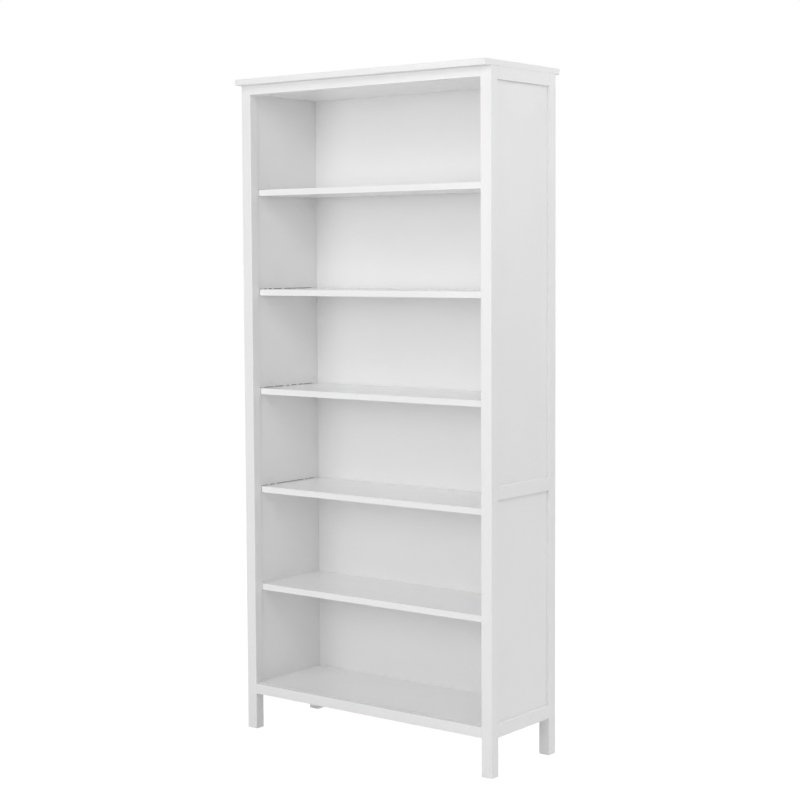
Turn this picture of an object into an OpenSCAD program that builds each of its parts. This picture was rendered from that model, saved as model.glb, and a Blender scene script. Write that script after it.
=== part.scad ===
// Tall free-standing bookcase with frame-and-panel sides, one fixed shelf and
// four adjustable shelves that rest on pins.
// Millimetres. X runs along the width, the open front faces -Y and +Z is up.
// The origin is on the floor, under the middle of the bookcase.

/* [Overall] */
// Width over the posts and the top
width = 910; // [700:10:1100]
// Depth of the top, from its front edge to its rear edge
depth = 370; // [340:5:450]
// Height from the floor to the top face
height = 1970; // [1850:10:2150]

/* [Top] */
// Thickness of the top
top_t = 17; // [15:1:22]
// How far the top stands out in front of the posts
front_overhang = 28; // [10:1:40]
// How far the top stands out behind the posts, to clear a skirting board
rear_overhang = 20; // [20:1:30]

/* [Posts] */
// Width of a post, seen from the front
post_w = 35; // [33:1:45]
// Depth of a post, seen from the side
post_d = 32; // [30:1:45]
// Clear height under the bottom rails
foot_h = 110; // [80:5:140]

/* [Rails] */
// Height of the front rail under the top
front_top_rail_h = 28; // [24:1:45]
// Height of the front rail along the bottom shelf
front_bottom_rail_h = 31; // [28:1:60]
// Thickness of the two front rails
front_rail_t = 18; // [16:1:22]
// Height of the rear rail under the top
rear_top_rail_h = 50; // [50:1:80]
// Height of the side rails under the top
side_top_rail_h = 35; // [30:1:60]
// Height of the middle and bottom side rails
side_rail_h = 38; // [30:1:60]
// Height of the lower edge of the middle side rails
middle_rail_z = 772; // [650:1:900]

/* [Sides and back] */
// How far the outer panels lie behind the face of the side rails
panel_recess = 9; // [6:1:10]
// Thickness of the inner side boards
side_board_t = 16; // [15:1:17]
// Thickness of the back panels
back_t = 4; // [3:0.5:5]
// Distance from the rear of the posts to the face of the back panels
back_inset = 18; // [16:1:20]

/* [Shelves] */
// Thickness of the fixed and adjustable shelves
shelf_t = 18.5; // [16:0.5:22]
// Thickness of the bottom shelf and of the board under the top
board_t = 18; // [16:1:22]
// Height of the top face of the fixed shelf
fixed_shelf_z = 445; // [420:1:470]
// Gap between the ends of an adjustable shelf and the sides
end_gap = 2.5; // [1:0.5:2.5]
// Gap between an adjustable shelf and the back
rear_gap = 1.5; // [1:0.5:3]

/* [Shelf pins] */
// Diameter of the pin holes
pin_hole_d = 5.1; // [5.1:0.1:6]
// Distance between neighbouring pin holes of one shelf
pin_pitch = 32; // [25:1:40]
// Distance from the shelf's front edge to the front column of holes
front_hole_setback = 50; // [35:1:70]
// Distance from the back to the rear column of holes
rear_hole_setback = 19; // [15:1:40]
// Hole steps from the lowest adjustable shelf's pins up to its extra hole
extra_hole_steps = 4; // [3:1:5]

/* [Hidden] */
SIDES = ["left", "right"];
$fn = 48;
eps = 1;

// Planes across the width, measured on the right-hand side
half_w = width / 2;
post_in_x = half_w - post_w;
side_rail_t = 16;
board_out_x = half_w - side_rail_t;
board_in_x = board_out_x - side_board_t;

// Planes along the depth
post_front_y = -depth / 2 + front_overhang;
front_post_back_y = post_front_y + post_d;
post_rear_y = depth / 2 - rear_overhang;
rear_post_front_y = post_rear_y - post_d;
back_y = post_rear_y - back_inset;
back_rear_y = back_y + back_t;
shelf_front_y = front_post_back_y + 1;
front_rail_back_y = post_front_y + front_rail_t;

// Levels
top_z = height - top_t;
ceiling_z = top_z - front_top_rail_h;
bottom_z = foot_h + front_bottom_rail_h;
side_top_rail_z = top_z - side_top_rail_h;
clear_h = (ceiling_z - fixed_shelf_z - 4 * shelf_t) / 5;
shelf_pitch = clear_h + shelf_t;
back_joint_z = fixed_shelf_z - shelf_t / 2;

// Colours
PAINT = [0.94, 0.94, 0.93];
FOIL = [0.91, 0.91, 0.90];
STEEL = [0.70, 0.71, 0.72];
BEECH = [0.80, 0.66, 0.46];
PLASTIC = [0.82, 0.82, 0.80];

// Back panels: the grooves that hold their edges in the rear posts
groove_depth = 6;
back_play = 0.5;

// Shelf pins: a round peg in the hole and a flat-topped stub in a notch of the shelf
pin_d = 5;
pin_hole_depth = 11;
pin_peg_l = 10;
pin_stub_l = 10;
pin_stub_r = 3.5;
pin_drop = 2.5;
notch_h = 5;
notch_play = 0.5;
pin_columns = [shelf_front_y + front_hole_setback, back_y - rear_hole_setback];

// Cam fittings and dowels in the ends of the three fixed boards
cam_columns = [shelf_front_y + 39, back_y - 42];
dowel_columns = [shelf_front_y + 74, back_y - 77];
cam_d = 14.8;
cam_h = 12.5;
cam_seat_d = 15;
cam_seat_h = 13;
cam_setback = 24;
bolt_hole_d = 8;
bolt_thread_d = 5;
bolt_thread_l = 11;
bolt_neck_d = 4.5;
bolt_head_d = 7;
bolt_head_l = 4;
dowel_d = 8;
dowel_l = 30;
dowel_in_side = 10;
cam_slot_w = 2;

// Dowels between rails and posts
rail_dowel_d = 6;
rail_dowel_l = 24;
side_dowel_l = 20;

// Screws that come up through the top rails and hold the top
screw_d = 4;
screw_hole_d = 4.1;
screw_head_d = 7.5;
screw_head_h = 2.6;
screw_seat_d = 8;
screw_sink = 3;
screw_bite = 10;
screw_columns = [-300, 0, 300];

// Holes for wall screws, through the rear top rail and two spacers. The screws themselves pierce the thin back
wall_columns = [-200, 200];
wall_hole_d = 5.2;
wall_hole_z = ceiling_z - 11;
spacer_d = 22;

// Nails along the joint of the two back panels
nail_d = 1.5;
nail_hole_d = 1.6;
nail_l = 20;
nail_head_d = 4;
nail_head_h = 0.8;
nail_offset = 4.5;
nail_columns = [for (i = [-5:2:5]) i * 75];

// Glides let into the feet
glide_d = 20;
glide_h = 3.5;
glide_proud = 1;
glide_play = 0.2;

// Height of the top face of adjustable shelf k, counted from the top
function shelf_z(k) = fixed_shelf_z + (5 - k) * shelf_pitch;

// Height of the axis of the pins under adjustable shelf k
function pin_z(k) = shelf_z(k) - shelf_t + notch_h - pin_drop;

// Heights of every pin hole in a side board
pin_rows = concat(
    [for (k = [1:4], step = [-1:1]) pin_z(k) + step * pin_pitch],
    [pin_z(4) + extra_hole_steps * pin_pitch]
);

// Middle heights of the three fixed boards
inner_top_mid_z = ceiling_z + board_t / 2;
fixed_mid_z = fixed_shelf_z - shelf_t / 2;
bottom_mid_z = bottom_z - board_t / 2;
fixed_board_levels = [inner_top_mid_z, fixed_mid_z, bottom_mid_z];

// Middle heights of the rails
front_rail_levels = [ceiling_z + front_top_rail_h / 2, foot_h + front_bottom_rail_h / 2];
rear_rail_levels = [top_z - rear_top_rail_h / 2, foot_h + side_rail_h / 2];
side_rail_levels = [
    side_top_rail_z + side_top_rail_h / 2,
    middle_rail_z + side_rail_h / 2,
    foot_h + side_rail_h / 2
];
front_rail_mid_y = post_front_y + front_rail_t / 2;
rear_rail_mid_y = (back_rear_y + post_rear_y) / 2;
side_rail_mid_x = half_w - side_rail_t / 2;

// ---- Helpers ----

// A box given by its lowest and highest corners
module block(low, high) {
    translate(low) cube(high - low);
}

// A round bar along +X, +Y or +Z that starts at a point
module bar_x(start, d, l) {
    translate(start) rotate([0, 90, 0]) cylinder(d = d, h = l);
}

module bar_y(start, d, l) {
    translate(start) rotate([-90, 0, 0]) cylinder(d = d, h = l);
}

module bar_z(start, d, l) {
    translate(start) cylinder(d = d, h = l);
}

// Draws its children, made for the right-hand side, on the named side
module on_side(side) {
    if (side == "right") children();
    else mirror([1, 0, 0]) children();
}

module on_both_sides() {
    for (side = SIDES) on_side(side) children();
}

// ---- Bores shared by two parts ----

// Holes in the end of a fixed board, for its cam bolts, cams and dowels.
// cam_face is 1 where the cams enter from above and -1 where from below.
module board_end_bores(level, thickness, cam_face) {
    seat_z = level + cam_face * (thickness / 2 - cam_seat_h / 2);
    for (y = cam_columns) {
        bar_x([board_in_x - cam_setback, y, level], bolt_hole_d, cam_setback + eps);
        translate([board_in_x - cam_setback, y, seat_z + cam_face * eps / 2])
            cylinder(d = cam_seat_d, h = cam_seat_h + eps, center = true);
    }
    for (y = dowel_columns)
        bar_x([board_in_x - dowel_l + dowel_in_side, y, level], dowel_d, dowel_l);
}

// Holes for the screws that come up through a top rail into the top
module top_screw_bores(y) {
    for (x = screw_columns)
        bar_z([x, y, ceiling_z - eps], screw_hole_d, top_z - ceiling_z + screw_bite + eps);
}

// Holes for the nails in the joint of the back panels
module nail_bores() {
    for (x = nail_columns, side = [-1, 1])
        bar_y([x, back_y - nail_l, back_joint_z + side * nail_offset], nail_hole_d, nail_l + back_t + eps);
}

// Dowel holes in a post for the two rails that run along the front or back
module cross_rail_bores(y, levels) {
    for (z = levels)
        bar_x([post_in_x - rail_dowel_l / 2, y, z], rail_dowel_d, rail_dowel_l);
}

// Dowel holes across the joints between the side rails and a post at y
module side_rail_bores(y) {
    for (z = side_rail_levels)
        bar_y([side_rail_mid_x, y - side_dowel_l / 2, z], rail_dowel_d, side_dowel_l);
}

// Holes for the screws that hold the bookcase to a wall
module wall_bores() {
    for (x = wall_columns)
        bar_y([x, back_rear_y - eps, wall_hole_z], wall_hole_d, depth / 2 - back_rear_y + 2 * eps);
}

// Seat for a foot glide, centred in a post
module glide_seat(y) {
    bar_z([post_in_x + post_w / 2, y, 0], glide_d + glide_play, glide_h);
}

// ---- Top and fixed boards ----

module top_panel() {
    color(PAINT)
    difference() {
        block([-half_w, -depth / 2, top_z], [half_w, depth / 2, height]);
        top_screw_bores(front_rail_mid_y);
        top_screw_bores(rear_rail_mid_y);
    }
}

// A board that fills the space between the sides, notched round the front posts
module notched_board(bottom, thickness, cam_face) {
    level = bottom + thickness / 2;
    difference() {
        union() {
            block([-post_in_x, front_rail_back_y, bottom], [post_in_x, back_y, bottom + thickness]);
            block([-board_in_x, front_post_back_y, bottom], [board_in_x, back_y, bottom + thickness]);
        }
        on_both_sides() board_end_bores(level, thickness, cam_face);
    }
}

module inner_top_board() {
    color(FOIL) notched_board(ceiling_z, board_t, 1);
}

module bottom_shelf() {
    color(PAINT) notched_board(bottom_z - board_t, board_t, -1);
}

module fixed_shelf() {
    color(PAINT)
    difference() {
        block([-board_in_x, shelf_front_y, fixed_shelf_z - shelf_t], [board_in_x, back_y, fixed_shelf_z]);
        on_both_sides() board_end_bores(fixed_mid_z, shelf_t, -1);
        nail_bores();
    }
}

// ---- Adjustable shelves and their pins ----

// Notches in the underside of a shelf, open at its ends, that drop over the pins
module pin_notches(underside) {
    half_slot = pin_stub_r + notch_play;
    on_both_sides()
        for (y = pin_columns)
            block(
                [board_in_x - pin_stub_l - notch_play, y - half_slot, underside - eps],
                [board_in_x, y + half_slot, underside + notch_h]
            );
}

module adjustable_shelf(k) {
    underside = shelf_z(k) - shelf_t;
    end_x = board_in_x - end_gap;
    color(PAINT)
    difference() {
        block([-end_x, shelf_front_y, underside], [end_x, back_y - rear_gap, shelf_z(k)]);
        pin_notches(underside);
    }
}

module shelf_pin(y, z) {
    bar_x([board_in_x - eps, y, z], pin_d, pin_peg_l + eps);
    difference() {
        bar_x([board_in_x - pin_stub_l, y, z], 2 * pin_stub_r, pin_stub_l);
        block(
            [board_in_x - pin_stub_l - eps, y - 2 * pin_stub_r, z + pin_drop],
            [board_in_x + eps, y + 2 * pin_stub_r, z + 2 * pin_stub_r]
        );
    }
}

module shelf_pins(k) {
    color(STEEL)
    on_both_sides()
        for (y = pin_columns) shelf_pin(y, pin_z(k));
}

// ---- Rails that run along the width ----

module front_rail(bottom, top, level) {
    difference() {
        block([-post_in_x, post_front_y, bottom], [post_in_x, front_rail_back_y, top]);
        on_both_sides() cross_rail_bores(front_rail_mid_y, [level]);
    }
}

module rear_rail(bottom, top, level) {
    difference() {
        block([-post_in_x, back_rear_y, bottom], [post_in_x, post_rear_y, top]);
        on_both_sides() cross_rail_bores(rear_rail_mid_y, [level]);
    }
}

// Counterbores for the heads of the screws that hold the top
module screw_head_seats(y, bottom) {
    for (x = screw_columns)
        bar_z([x, y, bottom - eps], screw_seat_d, screw_sink + eps);
}

module front_top_rail() {
    color(PAINT)
    difference() {
        front_rail(ceiling_z, top_z, front_rail_levels[0]);
        top_screw_bores(front_rail_mid_y);
        screw_head_seats(front_rail_mid_y, ceiling_z);
    }
}

module front_bottom_rail() {
    color(PAINT) front_rail(foot_h, bottom_z, front_rail_levels[1]);
}

module rear_top_rail() {
    bottom = top_z - rear_top_rail_h;
    color(PAINT)
    difference() {
        rear_rail(bottom, top_z, rear_rail_levels[0]);
        top_screw_bores(rear_rail_mid_y);
        for (x = screw_columns)
            bar_z([x, rear_rail_mid_y, bottom - eps], screw_seat_d, ceiling_z + screw_sink - bottom + eps);
        wall_bores();
    }
}

module rear_bottom_rail() {
    color(PAINT) rear_rail(foot_h, foot_h + side_rail_h, rear_rail_levels[1]);
}

// ---- Posts ----

module front_post(side) {
    color(PAINT)
    on_side(side)
    difference() {
        block([post_in_x, post_front_y, glide_proud], [half_w, front_post_back_y, top_z]);
        cross_rail_bores(front_rail_mid_y, front_rail_levels);
        side_rail_bores(front_post_back_y);
        glide_seat((post_front_y + front_post_back_y) / 2);
    }
}

// The rear post is rebated above its foot: one step takes the side board and
// a second, narrower one takes the edge of the back panels.
module rear_post(side) {
    groove_x = post_in_x + groove_depth;
    color(PAINT)
    on_side(side)
    difference() {
        block([post_in_x, rear_post_front_y, glide_proud], [half_w, post_rear_y, top_z]);
        block([post_in_x - eps, rear_post_front_y - eps, foot_h], [board_out_x, back_y, top_z + eps]);
        block([post_in_x - eps, back_y - eps, foot_h], [groove_x, back_rear_y, top_z + eps]);
        cross_rail_bores(rear_rail_mid_y, rear_rail_levels);
        side_rail_bores(rear_post_front_y);
        glide_seat((rear_post_front_y + post_rear_y) / 2);
    }
}

// ---- Sides ----

module side_board(side) {
    color(FOIL)
    on_side(side)
    difference() {
        block([board_in_x, front_post_back_y, foot_h], [board_out_x, back_y, top_z]);
        for (y = pin_columns, z = pin_rows)
            bar_x([board_in_x - eps, y, z], pin_hole_d, pin_hole_depth + eps);
        for (z = fixed_board_levels) {
            for (y = cam_columns)
                bar_x([board_in_x - eps, y, z], bolt_thread_d, bolt_thread_l + eps);
            for (y = dowel_columns)
                bar_x([board_in_x - eps, y, z], dowel_d, dowel_in_side + eps);
        }
    }
}

module side_rail(side, bottom, top) {
    color(PAINT)
    on_side(side)
    difference() {
        block([board_out_x, front_post_back_y, bottom], [half_w, rear_post_front_y, top]);
        side_rail_bores(front_post_back_y);
        side_rail_bores(rear_post_front_y);
    }
}

module side_panel(side, bottom, top) {
    color(FOIL)
    on_side(side)
    block([board_out_x, front_post_back_y, bottom], [half_w - panel_recess, rear_post_front_y, top]);
}

module side_top_rail(side) {
    side_rail(side, side_top_rail_z, top_z);
}

module side_middle_rail(side) {
    side_rail(side, middle_rail_z, middle_rail_z + side_rail_h);
}

module side_bottom_rail(side) {
    side_rail(side, foot_h, foot_h + side_rail_h);
}

module side_upper_panel(side) {
    side_panel(side, middle_rail_z + side_rail_h, side_top_rail_z);
}

module side_lower_panel(side) {
    side_panel(side, foot_h + side_rail_h, middle_rail_z);
}

// ---- Back ----

module back_panel(bottom, top) {
    edge_x = post_in_x + groove_depth - back_play;
    color(FOIL)
    difference() {
        block([-edge_x, back_y, bottom], [edge_x, back_rear_y, top]);
        nail_bores();
    }
}

module upper_back_panel() {
    back_panel(back_joint_z, top_z);
}

module lower_back_panel() {
    back_panel(foot_h, back_joint_z);
}

// ---- Fittings ----

// A cam, with the slot for its screwdriver on the outer face
module cam_lock(y, level, thickness, cam_face) {
    center_z = level + cam_face * (thickness / 2 - cam_seat_h + cam_h / 2);
    outer_z = center_z + cam_face * cam_h / 2;
    difference() {
        translate([board_in_x - cam_setback, y, center_z])
            cylinder(d = cam_d, h = cam_h, center = true);
        bar_x([board_in_x - cam_setback - bolt_head_l, y, level], bolt_hole_d, cam_d);
        for (turn = [0, 90])
            translate([board_in_x - cam_setback, y, outer_z])
                rotate([0, 0, turn])
                    cube([cam_d / 2, cam_slot_w, cam_slot_w], center = true);
    }
}

module cam_locks() {
    color(STEEL)
    on_both_sides()
        for (y = cam_columns) {
            cam_lock(y, inner_top_mid_z, board_t, 1);
            cam_lock(y, fixed_mid_z, shelf_t, -1);
            cam_lock(y, bottom_mid_z, board_t, -1);
        }
}

module cam_bolts() {
    color(STEEL)
    on_both_sides()
        for (y = cam_columns, z = fixed_board_levels) {
            bar_x([board_in_x, y, z], bolt_thread_d, bolt_thread_l);
            bar_x([board_in_x - cam_setback, y, z], bolt_neck_d, cam_setback + eps);
            bar_x([board_in_x - cam_setback - bolt_head_l / 2, y, z], bolt_head_d, bolt_head_l);
        }
}

module shelf_dowels() {
    color(BEECH)
    on_both_sides()
        for (y = dowel_columns, z = fixed_board_levels)
            bar_x([board_in_x - dowel_l + dowel_in_side, y, z], dowel_d, dowel_l);
}

module rail_dowels() {
    color(BEECH)
    on_both_sides() {
        cross_rail_bores(front_rail_mid_y, front_rail_levels);
        cross_rail_bores(rear_rail_mid_y, rear_rail_levels);
    }
}

module side_dowels() {
    color(BEECH)
    on_both_sides() {
        side_rail_bores(front_post_back_y);
        side_rail_bores(rear_post_front_y);
    }
}

module top_screws() {
    head_z = ceiling_z + screw_sink - screw_head_h;
    color(STEEL)
    for (x = screw_columns, y = [front_rail_mid_y, rear_rail_mid_y]) {
        bar_z([x, y, head_z], screw_head_d, screw_head_h);
        bar_z([x, y, head_z], screw_d, top_z + screw_bite - head_z);
    }
}

module back_nails() {
    color(STEEL)
    for (x = nail_columns, side = [-1, 1]) {
        z = back_joint_z + side * nail_offset;
        bar_y([x, back_rear_y - nail_l, z], nail_d, nail_l + nail_head_h);
        bar_y([x, back_rear_y, z], nail_head_d, nail_head_h);
    }
}

module foot_glides() {
    color(PLASTIC)
    on_both_sides()
        for (y = [post_front_y + post_d / 2, post_rear_y - post_d / 2])
            bar_z([post_in_x + post_w / 2, y, 0], glide_d, glide_h);
}

// Spacers between the rear top rail and the wall
module wall_spacers() {
    color(PLASTIC)
    difference() {
        for (x = wall_columns)
            bar_y([x, post_rear_y, wall_hole_z], spacer_d, rear_overhang);
        wall_bores();
    }
}

// ---- Nodes ----

top_panel();
inner_top_board();
bottom_shelf();
fixed_shelf();
adjustable_shelf(1);  // adjustable_shelf_1
adjustable_shelf(2);  // adjustable_shelf_2
adjustable_shelf(3);  // adjustable_shelf_3
adjustable_shelf(4);  // adjustable_shelf_4
shelf_pins(1);  // shelf_1_pins
shelf_pins(2);  // shelf_2_pins
shelf_pins(3);  // shelf_3_pins
shelf_pins(4);  // shelf_4_pins
front_top_rail();
front_bottom_rail();
rear_top_rail();
rear_bottom_rail();
front_post("left");  // left_front_post
front_post("right");  // right_front_post
rear_post("left");  // left_rear_post
rear_post("right");  // right_rear_post
side_board("left");  // left_side_board
side_board("right");  // right_side_board
side_top_rail("left");  // left_top_rail
side_middle_rail("left");  // left_middle_rail
side_bottom_rail("left");  // left_bottom_rail
side_top_rail("right");  // right_top_rail
side_middle_rail("right");  // right_middle_rail
side_bottom_rail("right");  // right_bottom_rail
side_upper_panel("left");  // left_upper_panel
side_lower_panel("left");  // left_lower_panel
side_upper_panel("right");  // right_upper_panel
side_lower_panel("right");  // right_lower_panel
upper_back_panel();
lower_back_panel();
cam_locks();
cam_bolts();
shelf_dowels();
rail_dowels();
side_dowels();
top_screws();
back_nails();
foot_glides();
wall_spacers();
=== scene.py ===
"""Looks of a tall white bookcase: eased board edges, turned fittings, paint, light and camera."""
import math

import bmesh
import bpy
from mathutils import Matrix, Vector


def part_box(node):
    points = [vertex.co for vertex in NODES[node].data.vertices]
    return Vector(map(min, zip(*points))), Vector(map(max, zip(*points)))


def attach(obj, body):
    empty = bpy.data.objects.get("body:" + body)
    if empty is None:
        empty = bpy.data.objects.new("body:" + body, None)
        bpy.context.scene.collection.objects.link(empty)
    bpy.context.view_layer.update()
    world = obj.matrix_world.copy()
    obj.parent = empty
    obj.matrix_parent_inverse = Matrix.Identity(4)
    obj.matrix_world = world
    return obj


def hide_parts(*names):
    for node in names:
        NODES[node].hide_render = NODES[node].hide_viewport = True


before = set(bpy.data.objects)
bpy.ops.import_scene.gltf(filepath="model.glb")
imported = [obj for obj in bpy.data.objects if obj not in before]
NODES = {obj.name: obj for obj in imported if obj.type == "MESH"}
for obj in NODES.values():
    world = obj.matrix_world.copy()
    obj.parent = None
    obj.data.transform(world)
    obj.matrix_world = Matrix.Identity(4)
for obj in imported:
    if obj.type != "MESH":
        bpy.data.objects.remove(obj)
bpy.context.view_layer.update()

MM = 0.001

# Groups of CAD nodes
RAILS_ALONG_X = ["front_top_rail", "front_bottom_rail", "rear_top_rail", "rear_bottom_rail"]
SHELVES = ["inner_top_board", "bottom_shelf", "fixed_shelf"] + [f"adjustable_shelf_{k}" for k in (1, 2, 3, 4)]
POSTS = [f"{side}_{end}_post" for side in ("left", "right") for end in ("front", "rear")]
SIDE_RAILS = [f"{side}_{level}_rail" for side in ("left", "right") for level in ("top", "middle", "bottom")]
SIDE_PANELS = [f"{side}_{level}_panel" for side in ("left", "right") for level in ("upper", "lower")]
SIDE_BOARDS = ["left_side_board", "right_side_board"]
BACK_PANELS = ["upper_back_panel", "lower_back_panel"]
PINS = [f"shelf_{k}_pins" for k in (1, 2, 3, 4)]

# ---- Camera ----

CAMERA_PLACE = (3.17, -4.07, 1.44)
CAMERA_YAW = math.radians(37.74)
CAMERA_PITCH = math.radians(-3.88)
CAMERA_ROLL = math.radians(-0.29)
CAMERA_LENS = 79
CAMERA_SENSOR = 36
CAMERA_SHIFT_Y = -0.03


def make_camera():
    data = bpy.data.cameras.new("camera")
    data.lens = CAMERA_LENS
    data.sensor_width = CAMERA_SENSOR
    data.shift_y = CAMERA_SHIFT_Y
    camera = bpy.data.objects.new("camera", data)
    bpy.context.scene.collection.objects.link(camera)
    turn = Matrix.Rotation(CAMERA_YAW, 4, "Z") @ Matrix.Rotation(math.pi / 2 + CAMERA_PITCH, 4, "X")
    roll = Matrix.Rotation(CAMERA_ROLL, 4, "Z")
    camera.matrix_world = Matrix.Translation(CAMERA_PLACE) @ turn @ roll
    bpy.context.scene.camera = camera


# ---- Light and floor ----

# Round softboxes about the bookcase: degrees to the right of its front, degrees up, and power in watts
SOFTBOX_AIM = Vector((0, -0.1, 1.2))
SOFTBOX_DISTANCE = 3.4
SOFTBOX_SIZE = 1.8
SOFTBOXES = {
    "front_left": (-15, 8, 23),
    "front_right": (15, 8, 15),
    "upper_front": (10, 35, 19),
    "upper_right": (45, 35, 12),
    "side": (105, 8, 15),
    "upper_side": (105, 35, 19),
    "left": (-110, 10, 16),
    "rear": (170, 20, 26),
}
# How strongly the wall lights the bookcase. The camera sees the wall as full white
WALL_LIGHT = 0.31
FLOOR_SIZE = 60
FLOOR_WHITE = (0.9, 0.9, 0.9, 1)
# The floor's glow for the camera: its strength, and its share of what the camera sees
FLOOR_GLOW = 1.14
FLOOR_GLOW_SHARE = 0.85


def make_lights():
    """A white studio: softboxes, and a wall that the camera sees as white and that lights more softly."""
    for name, (azimuth, elevation, power) in SOFTBOXES.items():
        data = bpy.data.lights.new(name, "AREA")
        data.shape = "DISK"
        data.size = SOFTBOX_SIZE
        data.energy = power
        light = bpy.data.objects.new(name, data)
        bpy.context.scene.collection.objects.link(light)
        raised = Matrix.Rotation(math.radians(-elevation), 3, "X") @ Vector((0, -1, 0))
        away = Matrix.Rotation(math.radians(azimuth), 3, "Z") @ raised
        light.location = SOFTBOX_AIM + SOFTBOX_DISTANCE * away
        light.rotation_euler = away.to_track_quat("Z", "Y").to_euler()
    world = bpy.data.worlds.new("studio")
    bpy.context.scene.world = world
    world.use_nodes = True
    background = world.node_tree.nodes["Background"]
    seen = add(world, "ShaderNodeLightPath").outputs["Is Camera Ray"]
    strength = spread(world, seen, WALL_LIGHT, 1, start=0, stop=1)
    world.node_tree.links.new(strength, background.inputs["Strength"])
    background.inputs["Color"].default_value = (1, 1, 1, 1)
    bpy.context.scene.view_settings.view_transform = "Standard"


def make_floor():
    """A plain white floor with a glow that only the camera sees, so that its shadows look very faint."""
    half = FLOOR_SIZE / 2
    mesh = bpy.data.meshes.new("floor")
    corners = [(-half, -half, 0), (half, -half, 0), (half, half, 0), (-half, half, 0)]
    mesh.from_pydata(corners, [], [(0, 1, 2, 3)])
    floor = bpy.data.objects.new("floor", mesh)
    bpy.context.scene.collection.objects.link(floor)
    white = bpy.data.materials.new("floor_white")
    white.use_nodes = True
    diffuse = add(white, "ShaderNodeBsdfDiffuse", {"Color": FLOOR_WHITE})
    glow = add(white, "ShaderNodeEmission", {"Strength": FLOOR_GLOW})
    seen = add(white, "ShaderNodeLightPath").outputs["Is Camera Ray"]
    share = multiply(white, seen, FLOOR_GLOW_SHARE)
    mix = add(white, "ShaderNodeMixShader", {0: share, 1: diffuse.outputs[0], 2: glow.outputs[0]})
    output = white.node_tree.nodes["Material Output"]
    white.node_tree.links.new(mix.outputs[0], output.inputs["Surface"])
    mesh.materials.append(white)


# ---- Material building blocks ----

NOISE_ROUGHNESS = 0.6
BUMP_STRENGTH = 0.7
# Places of the colour sockets of a Mix node
MIX_FIRST, MIX_SECOND, MIX_RESULT = 6, 7, 2


def set_input(owner, socket, value):
    """Gives a node's input a value, or links it to another node's output."""
    if isinstance(value, bpy.types.NodeSocket):
        owner.node_tree.links.new(value, socket)
    else:
        socket.default_value = value


def add(owner, kind, inputs=None, **settings):
    """Adds a shader node. Each of its inputs is given as a value or as another node's output."""
    node = owner.node_tree.nodes.new(kind)
    for name, value in settings.items():
        setattr(node, name, value)
    for name, value in (inputs or {}).items():
        set_input(owner, node.inputs[name], value)
    return node


def spread(owner, value, low, high, start=0.3, stop=0.7):
    """Maps value from start..stop to low..high."""
    limits = {"From Min": start, "From Max": stop, "To Min": low, "To Max": high}
    return add(owner, "ShaderNodeMapRange", {"Value": value, **limits}).outputs["Result"]


def noise(owner, scale, detail=2, along=None, squeeze=0.05):
    """Noise in object space, per metre, drawn out along one axis where along names it."""
    place = add(owner, "ShaderNodeTexCoord").outputs["Object"]
    if along:
        stretch = [squeeze if axis == along else 1 for axis in "xyz"]
        place = add(owner, "ShaderNodeMapping", {"Vector": place, "Scale": stretch}).outputs["Vector"]
    inputs = {"Vector": place, "Scale": scale, "Detail": detail, "Roughness": NOISE_ROUGHNESS}
    return add(owner, "ShaderNodeTexNoise", inputs).outputs["Fac"]


def relief(owner, height, depth, over=None):
    """A bump of the given depth in metres, on top of another one where over gives it."""
    inputs = {"Height": height, "Distance": depth, "Strength": BUMP_STRENGTH}
    if over:
        inputs["Normal"] = over
    return add(owner, "ShaderNodeBump", inputs).outputs["Normal"]


def blend_colors(owner, share, first, second):
    """Mixes two colours. Each is given as red, green and blue or as another node's output."""
    node = add(owner, "ShaderNodeMix", {"Factor": share}, data_type="RGBA")
    for place, value in ((MIX_FIRST, first), (MIX_SECOND, second)):
        set_input(owner, node.inputs[place], (*value, 1) if isinstance(value, tuple) else value)
    return node.outputs[MIX_RESULT]


def multiply(owner, first, second):
    return add(owner, "ShaderNodeMath", {0: first, 1: second}, operation="MULTIPLY").outputs[0]


def finish_material(material, color, roughness, normal, metallic=0):
    """Links those three to a material's Principled shader, and returns the material."""
    shader = material.node_tree.nodes["Principled BSDF"]
    for socket, value in (("Base Color", color), ("Roughness", roughness), ("Normal", normal)):
        material.node_tree.links.new(value, shader.inputs[socket])
    shader.inputs["Metallic"].default_value = metallic
    return material


def blank_material(name):
    material = bpy.data.materials.new(name)
    material.use_nodes = True
    return material


# ---- Materials ----

# A painted shade line's width, standing for the dark gap where a shelf's end meets a side board, the soft
# edges round it, and where it starts and stops along a side board
SHADE_LINE_WIDTH = 1.8 * MM
SHADE_LINE_LOWER_EDGE = 0.1 * MM
SHADE_LINE_UPPER_EDGE = 0.9 * MM
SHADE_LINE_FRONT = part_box("left_side_board")[0].y
SHADE_LINE_FRONT_FADE = 15 * MM
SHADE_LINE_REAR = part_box("left_side_board")[1].y - 18 * MM
SHADE_LINE_REAR_FADE = 8 * MM

# The depths of the roller's texture in the paint, the grain under it, the press's screen in the rear of the
# back, the grain of the dowels and the texture of the plastic
ROLLER_DEPTH = 0.02 * MM
FRAME_GRAIN_DEPTH = 0.07 * MM
SHELF_GRAIN_DEPTH = 0.03 * MM
SIDE_GRAIN_DEPTH = 0.02 * MM
SCREEN_DEPTH = 0.05 * MM
BEECH_GRAIN_DEPTH = 0.05 * MM
EROSION_DEPTH = 0.03 * MM

# How rough the paint is on the frame, the shelves and the side boards, and the back's white and raw faces
FRAME_ROUGHNESS = 0.36
SHELF_ROUGHNESS = 0.20
SIDE_ROUGHNESS = 0.40
BACK_ROUGHNESS = (0.42, 0.75)

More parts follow.
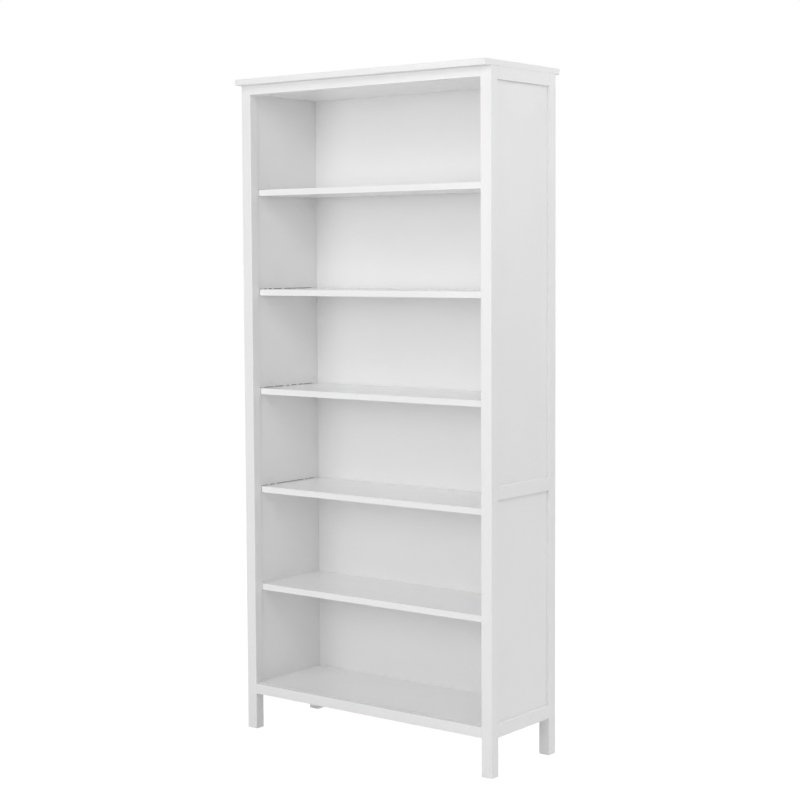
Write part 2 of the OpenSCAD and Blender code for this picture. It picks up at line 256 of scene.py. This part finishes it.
FRAME_WHITE = (0.92, 0.92, 0.92)
DULL_FRAME_WHITE = (0.90, 0.90, 0.90)
BOARD_WHITE = (0.94, 0.94, 0.94)
DULL_BOARD_WHITE = (0.925, 0.925, 0.925)
# Painted shade: the dark colour of the broken line that stands for the gap at each shelf's end
GAP_SHADE = (0.06, 0.06, 0.06)
FRAME_TINTS = (DULL_FRAME_WHITE, FRAME_WHITE)
BOARD_TINTS = (DULL_BOARD_WHITE, BOARD_WHITE)
HARDBOARD_TINTS = ((0.30, 0.19, 0.11), (0.46, 0.32, 0.20))
BEECH_TINTS = ((0.60, 0.42, 0.25), (0.76, 0.58, 0.38))
BEECH_FLECK = (0.36, 0.22, 0.12)
PLASTIC_TINTS = ((0.74, 0.74, 0.71), (0.78, 0.78, 0.75))
NICKEL_TINTS = ((0.66, 0.65, 0.63), (0.72, 0.71, 0.69))
ZINC_CASTING_TINTS = ((0.46, 0.47, 0.49), (0.58, 0.59, 0.60))
PLATED_STEEL_TINTS = ((0.62, 0.62, 0.60), (0.70, 0.70, 0.68))


def paint(name, grain, grain_depth, roughness, tints, shade_line_heights=()):
    """White satin paint over grain along one axis, with a roller's texture, and at each of the heights a
    broken dark line of painted shade for the gap at a shelf's end.
    """
    material = blank_material(name)
    lines = noise(material, 240, detail=4, along=grain)
    roller = noise(material, 1100)
    clouds = noise(material, 4, detail=3)
    color = blend_colors(material, spread(material, clouds, 0, 1), *tints)
    # Painted shade: a dark line on the board at each shelf's top, where the gap at the shelf's end would fall
    # dark
    for height in shade_line_heights:
        color = blend_colors(material, gap_shade_line(material, height), color, GAP_SHADE)
    shine = spread(material, lines, roughness - 0.03, roughness + 0.05)
    bumps = relief(material, lines, grain_depth, over=relief(material, roller, ROLLER_DEPTH))
    return finish_material(material, color, shine, bumps)


def gap_shade_line(owner, height):
    """How strongly a broken dark line of painted shade shows on a side board just above a shelf's top at
    height, standing for the dark gap at the shelf's end.
    """
    place = add(owner, "ShaderNodeTexCoord").outputs["Object"]
    parts = add(owner, "ShaderNodeSeparateXYZ", {0: place})
    top = height + SHADE_LINE_WIDTH
    above_shelf = spread(owner, parts.outputs["Z"], 0, 1, start=height, stop=height + SHADE_LINE_LOWER_EDGE)
    below_top = spread(owner, parts.outputs["Z"], 1, 0, start=top, stop=top + SHADE_LINE_UPPER_EDGE)
    behind_post = spread(owner, parts.outputs["Y"], 0, 1, start=SHADE_LINE_FRONT, stop=SHADE_LINE_FRONT + SHADE_LINE_FRONT_FADE)
    before_back = spread(owner, parts.outputs["Y"], 1, 0, start=SHADE_LINE_REAR - SHADE_LINE_REAR_FADE, stop=SHADE_LINE_REAR)
    broken_up = spread(owner, noise(owner, 45, detail=1, along="z"), 1, 0, start=0.56, stop=0.62)
    streaks = noise(owner, 1400, detail=3, along="y", squeeze=0.15)
    streaked = spread(owner, streaks, 0.35, 1, start=0.38, stop=0.58)
    share = above_shelf
    for factor in (below_top, behind_post, before_back, broken_up, streaked):
        share = multiply(owner, share, factor)
    return share


def back_board():
    """Thin fibreboard: smooth white in front, and raw brown with the press's screen pattern behind."""
    material = blank_material("back_board")
    roller = noise(material, 900)
    fibres = noise(material, 420, detail=6, along="z", squeeze=0.35)
    place = add(material, "ShaderNodeTexCoord").outputs["Object"]
    screen = add(material, "ShaderNodeTexChecker", {"Vector": place, "Scale": 600}).outputs["Fac"]
    normal = add(material, "ShaderNodeNewGeometry").outputs["Normal"]
    facing = add(material, "ShaderNodeSeparateXYZ", {0: normal}).outputs["Y"]
    raw = spread(material, facing, 0, 1, start=0.4, stop=0.6)
    brown = blend_colors(material, spread(material, fibres, 0, 1), *HARDBOARD_TINTS)
    clouds = noise(material, 5, detail=3)
    white = blend_colors(material, spread(material, clouds, 0, 1), *BOARD_TINTS)
    color = blend_colors(material, raw, white, brown)
    shine = spread(material, raw, *BACK_ROUGHNESS, start=0, stop=1)
    pattern = multiply(material, screen, raw)
    bumps = relief(material, pattern, SCREEN_DEPTH, over=relief(material, roller, ROLLER_DEPTH))
    return finish_material(material, color, shine, bumps)


def metal(name, tints, roughness, grit=0.01 * MM):
    """Plated or cast metal with a fine mottle, grit deep."""
    material = blank_material(name)
    mottle = noise(material, 3200, detail=3)
    color = blend_colors(material, spread(material, mottle, 0, 1), *tints)
    shine = spread(material, mottle, roughness - 0.04, roughness + 0.06)
    return finish_material(material, color, shine, relief(material, mottle, grit), metallic=1)


def beech():
    """Raw beech with its short dark flecks."""
    material = blank_material("beech")
    rings = noise(material, 500, detail=4, along="x", squeeze=0.15)
    flecks = noise(material, 2600, detail=1, along="x", squeeze=0.25)
    wood = blend_colors(material, spread(material, rings, 0, 1), *BEECH_TINTS)
    share = spread(material, flecks, 0, 0.5, start=0.62, stop=0.70)
    color = blend_colors(material, share, wood, BEECH_FLECK)
    shine = spread(material, rings, 0.55, 0.70)
    return finish_material(material, color, shine, relief(material, rings, BEECH_GRAIN_DEPTH))


def plastic():
    """Moulded off-white plastic with a spark-eroded texture."""
    material = blank_material("white_plastic")
    erosion = noise(material, 2200)
    clouds = noise(material, 60)
    color = blend_colors(material, spread(material, clouds, 0, 1), *PLASTIC_TINTS)
    shine = spread(material, erosion, 0.42, 0.58)
    return finish_material(material, color, shine, relief(material, erosion, EROSION_DEPTH))


def dress(names, material):
    """Gives CAD nodes a material in place of the plain one that they come with."""
    for name in names:
        NODES[name].material_slots[0].material = material


# ---- Eased edges ----

# Points this close are joined. Creases under the flat angle go, and those over the sharp angle are rounded
WELD_DISTANCE = 0.01 * MM
FLAT_ANGLE = math.radians(0.5)
SHARP_ANGLE = math.radians(40)


def long_edge_marker(shortest):
    """A node group that marks for rounding each sharp edge longer than the facets of a drilled hole's rim."""
    group = bpy.data.node_groups.new("long_edge_marker", "GeometryNodeTree")
    for side in ("INPUT", "OUTPUT"):
        group.interface.new_socket("Geometry", in_out=side, socket_type="NodeSocketGeometry")
    nodes, links = group.nodes, group.links

    def above(value, limit):
        node = nodes.new("ShaderNodeMath")
        node.operation = "GREATER_THAN"
        links.new(value, node.inputs[0])
        node.inputs[1].default_value = limit
        return node.outputs[0]

    ends = nodes.new("GeometryNodeInputMeshEdgeVertices")
    length = nodes.new("ShaderNodeVectorMath")
    length.operation = "DISTANCE"
    links.new(ends.outputs["Position 1"], length.inputs[0])
    links.new(ends.outputs["Position 2"], length.inputs[1])
    both = nodes.new("ShaderNodeMath")
    both.operation = "MULTIPLY"
    angle = nodes.new("GeometryNodeInputMeshEdgeAngle").outputs["Unsigned Angle"]
    links.new(above(angle, SHARP_ANGLE), both.inputs[0])
    links.new(above(length.outputs["Value"], shortest), both.inputs[1])
    store = nodes.new("GeometryNodeStoreNamedAttribute")
    store.data_type = "FLOAT"
    store.domain = "EDGE"
    store.inputs["Name"].default_value = "bevel_weight_edge"
    links.new(nodes.new("NodeGroupInput").outputs["Geometry"], store.inputs["Geometry"])
    links.new(both.outputs[0], store.inputs["Value"])
    links.new(store.outputs["Geometry"], nodes.new("NodeGroupOutput").inputs["Geometry"])
    return group


def ease(names, radius, segments=3, marker=None):
    """Rounds the sharp edges of CAD nodes, or only the long ones where a marker is given."""
    for name in names:
        node = NODES[name]
        weld = node.modifiers.new("weld", "WELD")
        weld.merge_threshold = WELD_DISTANCE
        flat = node.modifiers.new("flat", "DECIMATE")
        flat.decimate_type = "DISSOLVE"
        flat.angle_limit = FLAT_ANGLE
        if marker:
            node.modifiers.new("mark", "NODES").node_group = marker
        rounded = node.modifiers.new("rounded", "BEVEL")
        rounded.limit_method = "WEIGHT" if marker else "ANGLE"
        rounded.angle_limit = SHARP_ANGLE
        rounded.width = radius
        rounded.segments = segments
        normals = node.modifiers.new("normals", "WEIGHTED_NORMAL")
        normals.keep_sharp = False


# ---- Turned fittings ----

TURNED_SHARP_ANGLE = math.radians(35)
THREAD_STEPS = 6         # rings for each turn of a thread
RIM_STEPS = 4            # rings for each rounded rim


def solids(node):
    """The lowest and highest corners of each separate solid in a CAD node."""
    shape = bmesh.new()
    shape.from_mesh(NODES[node].data)
    bmesh.ops.remove_doubles(shape, verts=shape.verts, dist=WELD_DISTANCE)
    left, boxes = set(shape.verts), []
    while left:
        todo, points = [left.pop()], []
        while todo:
            vertex = todo.pop()
            points.append(vertex.co.copy())
            for edge in vertex.link_edges:
                other = edge.other_vert(vertex)
                if other in left:
                    left.remove(other)
                    todo.append(other)
        boxes.append((Vector(map(min, zip(*points))), Vector(map(max, zip(*points)))))
    shape.free()
    return sorted(boxes, key=lambda box: [round(value, 4) for value in box[0]])


def add_turned(shape, rings, place, sides):
    """Adds a closed turned form. A ring is a height and a radius, which may be a function of the angle."""
    rows = []
    for height, radius in rings:
        row = []
        for k in range(sides):
            angle = 2 * math.pi * k / sides
            reach = radius(angle) if callable(radius) else radius
            point = Vector((reach * math.cos(angle), reach * math.sin(angle), height))
            row.append(shape.verts.new(place @ point))
        rows.append(row)
    for low, high in zip(rows, rows[1:]):
        for k in range(sides):
            shape.faces.new((low[k], low[(k + 1) % sides], high[(k + 1) % sides], high[k]))
    shape.faces.new(list(reversed(rows[0])))
    shape.faces.new(rows[-1])


def turned_piece(name, node, material, rings, towards, sides=32):
    """One piece for a node of like fasteners. towards gives the direction that each one points in."""
    shape = bmesh.new()
    for low, high in solids(node):
        middle, size = (low + high) / 2, high - low
        along = Vector(towards(middle, size))
        length = abs(along.dot(size))
        turn = along.to_track_quat("Z", "Y").to_matrix().to_4x4()
        place = Matrix.Translation(middle - along * length / 2) @ turn
        add_turned(shape, rings(length), place, sides)
    mesh = bpy.data.meshes.new(name)
    shape.to_mesh(mesh)
    shape.free()
    mesh.shade_smooth()
    mesh.set_sharp_from_angle(angle=TURNED_SHARP_ANGLE)
    mesh.materials.append(material)
    piece = bpy.data.objects.new(name, mesh)
    bpy.context.scene.collection.objects.link(piece)
    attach(piece, "carcass")
    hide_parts(node)


def thread(start, stop, core, crest, pitch):
    """Rings of a screw thread between two heights."""
    steps = round(THREAD_STEPS * (stop - start) / pitch)
    for i in range(steps + 1):
        height = start + (stop - start) * i / steps

        def radius(angle, height=height):
            phase = (height / pitch - angle / (2 * math.pi)) % 1
            return core + (crest - core) * (1 - abs(2 * phase - 1)) ** 2

        yield height, radius


def cross(reach, half_width, scale=1.0):
    """The outline of a cross recess, as a radius for each angle."""

    def radius(angle):
        off_arm = abs((angle + math.pi / 4) % (math.pi / 2) - math.pi / 4)
        return scale * min(reach / math.cos(off_arm), half_width / max(math.sin(off_arm), 0.01))

    return radius


def rounded_rim(radius, rim):
    """Rings of a rim that is rounded by a quarter circle, out to the given radius."""
    for step in range(1, RIM_STEPS + 1):
        angle = step * math.pi / 2 / RIM_STEPS
        yield rim * (1 - math.cos(angle)), radius - rim + rim * math.sin(angle)


def screw_rings(length):
    """A pan-head wood screw with a cross recess, from the face of its head to its tip."""
    head, head_height, rim, shank = 3.75 * MM, 2.6 * MM, 1.1 * MM, 1.6 * MM
    core, crest, pitch = 1.4 * MM, 2.0 * MM, 1.8 * MM
    recess_depth, recess_reach, recess_half_width = 1.7 * MM, 2.0 * MM, 0.45 * MM
    chamfer_depth, chamfer = 0.3 * MM, 0.1 * MM
    yield recess_depth, cross(recess_reach, recess_half_width, scale=0.3)
    yield chamfer_depth, cross(recess_reach, recess_half_width)
    yield 0, cross(recess_reach + chamfer, recess_half_width + chamfer)
    yield from rounded_rim(head, rim)
    yield head_height - 0.1 * MM, head
    yield head_height, head - 0.15 * MM
    yield head_height, shank
    yield from thread(length - 26 * MM, length - 4 * MM, core, crest, pitch)
    yield length - 1 * MM, 0.6 * MM
    yield length, 0.15 * MM


def bolt_rings(length):
    """A cam bolt: its thread in the side board, a collar, and the ball head that the cam draws in."""
    core, crest, pitch = 1.8 * MM, 2.5 * MM, 1.75 * MM
    collar, collar_start, collar_stop = 2.5 * MM, 10.2 * MM, 11.0 * MM
    shank, neck = 2.25 * MM, 1.7 * MM
    ball_half_height, ball_core, ball_round = 2.0 * MM, 0.5 * MM, 3.0 * MM
    yield 0, 1.9 * MM
    yield from thread(0.6 * MM, 9.6 * MM, core, crest, pitch)
    yield collar_start, 2.2 * MM
    yield collar_start, collar
    yield collar_stop, collar
    yield collar_stop, shank
    yield length - 6.0 * MM, shank
    yield length - 5.0 * MM, neck
    yield length - 3.8 * MM, neck
    for degrees in range(-55, 84, 23):
        angle = math.radians(degrees)
        height = length - ball_half_height * (1 - math.sin(angle))
        yield height, ball_core + ball_round * math.cos(angle)
    yield length, 1.2 * MM


def nail_rings(length):
    """A panel pin: a low domed head, a shank and a point."""
    shank, head_height, point_length = 0.75 * MM, 0.8 * MM, 2 * MM
    yield 0, 0.6 * MM
    yield 0.15 * MM, 1.4 * MM
    yield 0.45 * MM, 2.0 * MM
    yield head_height, 1.8 * MM
    yield head_height, shank
    yield length - point_length, shank
    yield length, 0.1 * MM


def dowel_rings(radius, flutes=12):
    """A fluted dowel with chamfered ends."""
    chamfer, flute_start, flute_depth = 0.9 * MM, 2.0 * MM, 0.35 * MM

    def fluted(angle):
        return radius - flute_depth * max(0, math.cos(flutes * angle)) ** 2

    def rings(length):
        yield 0, radius - chamfer
        yield chamfer, radius
        yield flute_start, fluted
        yield length - flute_start, fluted
        yield length - chamfer, radius
        yield length, radius - chamfer

    return rings


def glide_rings(length):
    """A round glide with a rounded rim, its flat face on the floor."""
    radius, rim, face = 10 * MM, 1.2 * MM, 8.6 * MM
    yield 0, face
    yield from rounded_rim(radius, rim)
    yield length, radius


# Directions that fasteners point in, each from the middle and size of a fastener's box


def inwards(middle, size):
    return (-math.copysign(1, middle.x), 0, 0)


def longest_way(middle, size):
    return (1, 0, 0) if size.x > size.y else (0, 1, 0)


def upwards(middle, size):
    return (0, 0, 1)


def forwards(middle, size):
    return (0, -1, 0)


# ---- The bookcase ----

make_camera()
make_lights()
make_floor()

dress(["top_panel"] + RAILS_ALONG_X,
      paint("paint_along_x", "x", FRAME_GRAIN_DEPTH, FRAME_ROUGHNESS, FRAME_TINTS))
dress(SHELVES, paint("paint_shelves", "x", SHELF_GRAIN_DEPTH, SHELF_ROUGHNESS, BOARD_TINTS))
dress(POSTS + SIDE_PANELS,
      paint("paint_along_z", "z", FRAME_GRAIN_DEPTH, FRAME_ROUGHNESS, FRAME_TINTS))
dress(SIDE_RAILS, paint("paint_along_y", "y", FRAME_GRAIN_DEPTH, FRAME_ROUGHNESS, FRAME_TINTS))
# Heights of the painted shade lines on the side boards: the tops of adjustable shelves 2 to 4
GAP_SHADE_HEIGHTS = [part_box(f"adjustable_shelf_{k}")[1].z for k in (2, 3, 4)]
dress(SIDE_BOARDS,
      paint("paint_sides", "z", SIDE_GRAIN_DEPTH, SIDE_ROUGHNESS, BOARD_TINTS, GAP_SHADE_HEIGHTS))
dress(BACK_PANELS, back_board())
NICKEL = metal("nickel", NICKEL_TINTS, roughness=0.26)
ZINC = metal("zinc_casting", ZINC_CASTING_TINTS, roughness=0.45, grit=0.04 * MM)
PLATED = metal("plated_steel", PLATED_STEEL_TINTS, roughness=0.30)
WOOD = beech()
PLASTIC = plastic()
dress(PINS, NICKEL)
dress(["cam_locks"], ZINC)
dress(["wall_spacers"], PLASTIC)

LONG_EDGES = long_edge_marker(2 * MM)
ease(POSTS + RAILS_ALONG_X + SIDE_RAILS + SHELVES, 1.2 * MM, marker=LONG_EDGES)
ease(["top_panel"], 0.8 * MM, marker=LONG_EDGES)
ease(SIDE_PANELS + SIDE_BOARDS, 0.6 * MM, segments=2, marker=LONG_EDGES)
ease(BACK_PANELS, 0.3 * MM, segments=1, marker=LONG_EDGES)
ease(PINS, 0.35 * MM, segments=2)
ease(["cam_locks"], 0.4 * MM, segments=2)
ease(["wall_spacers"], 0.8 * MM)

turned_piece("screws_under_top", "top_screws", PLATED, screw_rings, upwards, sides=48)
turned_piece("bolts_for_cams", "cam_bolts", PLATED, bolt_rings, inwards)
turned_piece("panel_pins", "back_nails", PLATED, nail_rings, forwards, sides=16)
turned_piece("dowels_in_shelves", "shelf_dowels", WOOD, dowel_rings(4 * MM), longest_way, sides=48)
turned_piece("dowels_in_rails", "rail_dowels", WOOD, dowel_rings(3 * MM), longest_way, sides=48)
turned_piece("dowels_in_sides", "side_dowels", WOOD, dowel_rings(3 * MM), longest_way, sides=48)
turned_piece("glides_under_feet", "foot_glides", PLASTIC, glide_rings, upwards, sides=64)
